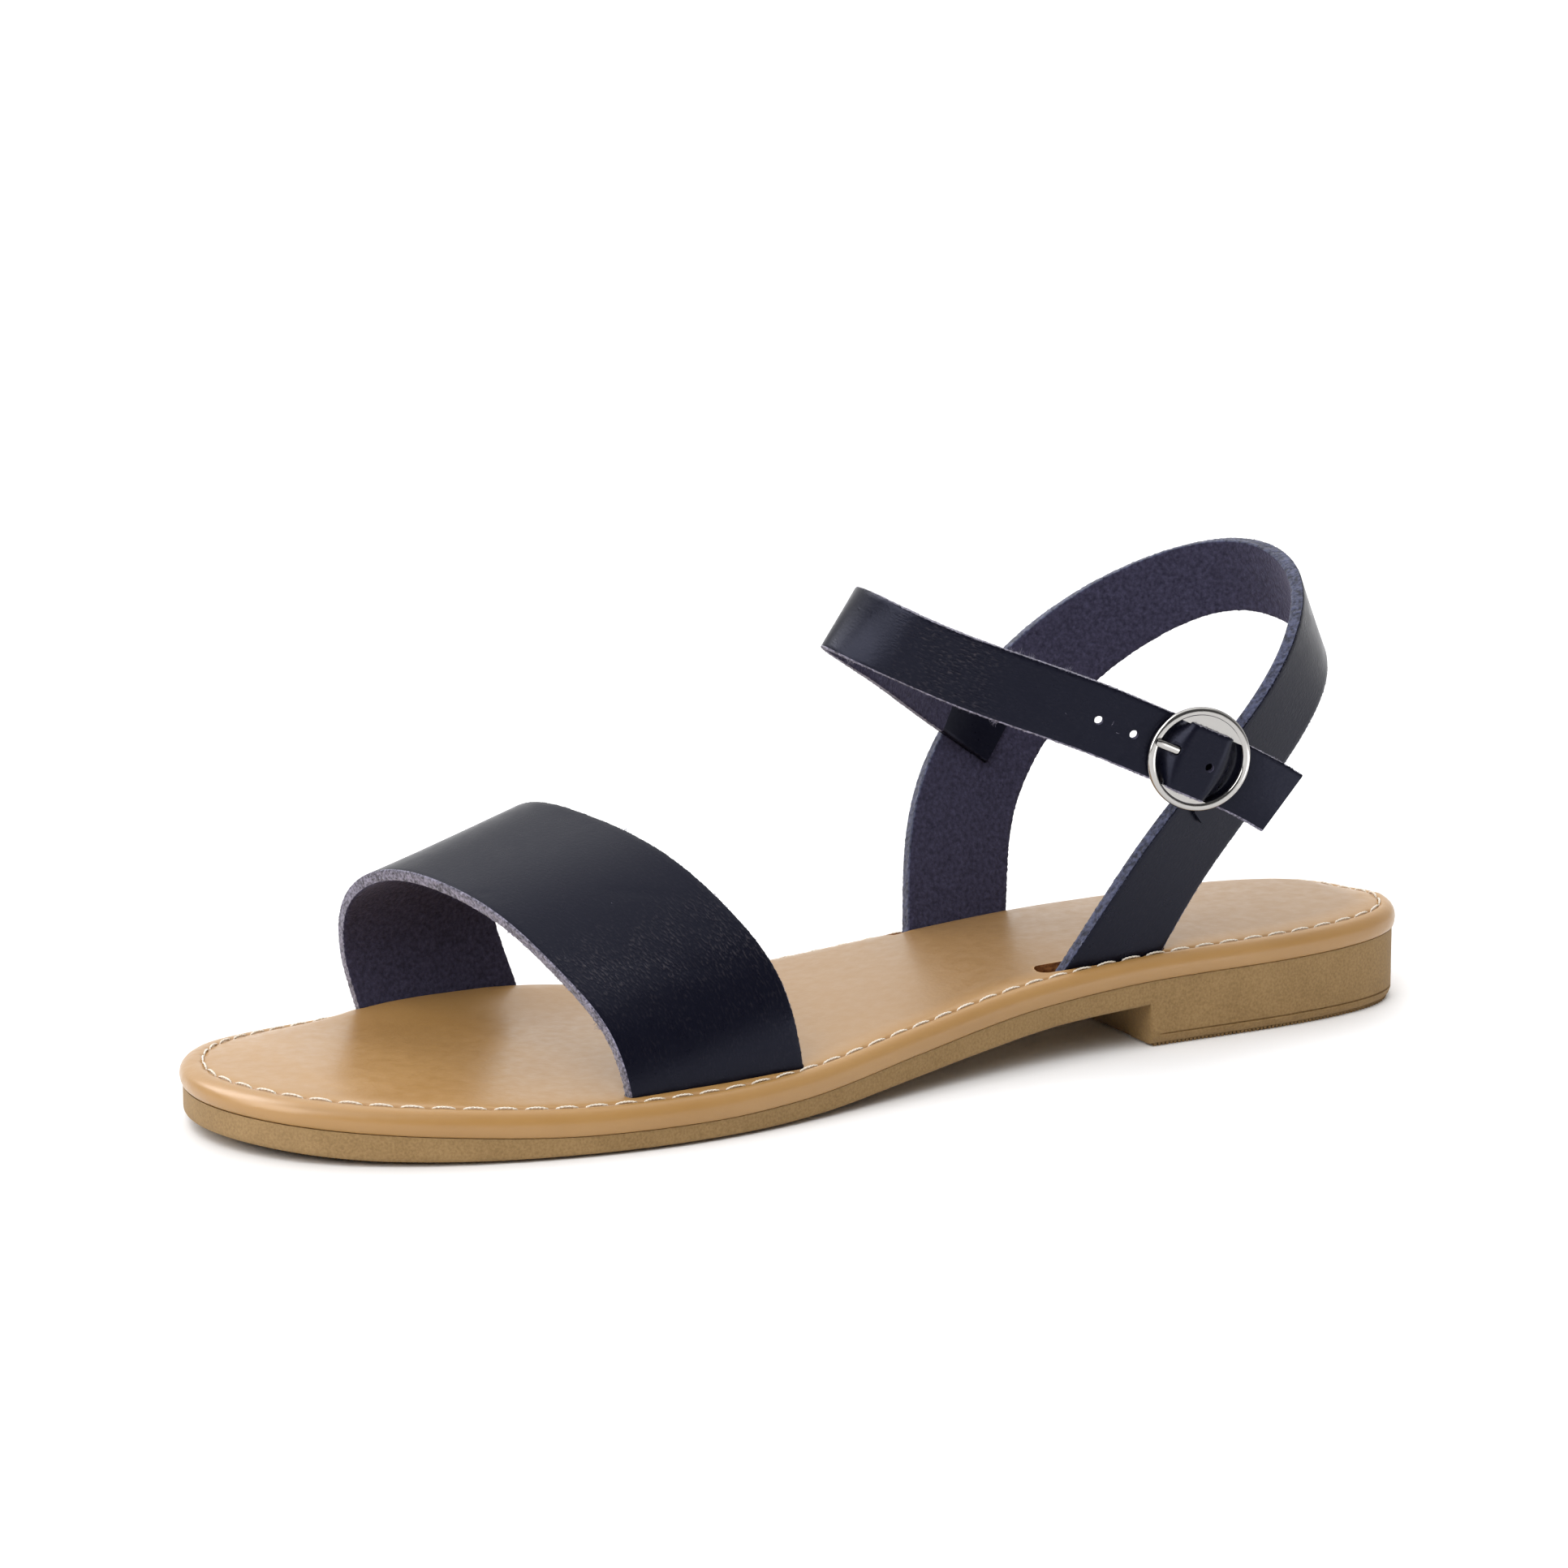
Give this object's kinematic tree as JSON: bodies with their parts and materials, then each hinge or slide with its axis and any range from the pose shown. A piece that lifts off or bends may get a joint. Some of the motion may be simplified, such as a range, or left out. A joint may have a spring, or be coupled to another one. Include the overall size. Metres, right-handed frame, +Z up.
{
  "type": "flat sandal",
  "caption": "Flat left sandal with a low moulded heel, a rolled tan footbed, a broad toe strap, and heel and ankle straps fastened by a round ring buckle.",
  "frame": {"origin": "on the floor, under the middle of the part's length and width", "axes": "+Z up from the floor, -Y towards the toe, +X towards the outer side of a left foot, where the buckle is"},
  "size_m": [0.0899, 0.2536, 0.0892],
  "materials": {
    "brown_rubber": "matt, finely pebbled khaki brown moulding",
    "tan_leather": "satin caramel tan with cream edge stitching",
    "black_leather": "smooth black with a soft sheen, raw cut edges",
    "bright_metal": "polished nickel"
  },
  "bodies": {
    "root": {"outsole": "brown_rubber", "footbed": "tan_leather", "toe_strap": "black_leather", "heel_ankle_straps": "black_leather", "buckle_tab": "black_leather", "buckle_frame": "bright_metal", "buckle_prong": "bright_metal"}
  },
  "joints": []
}
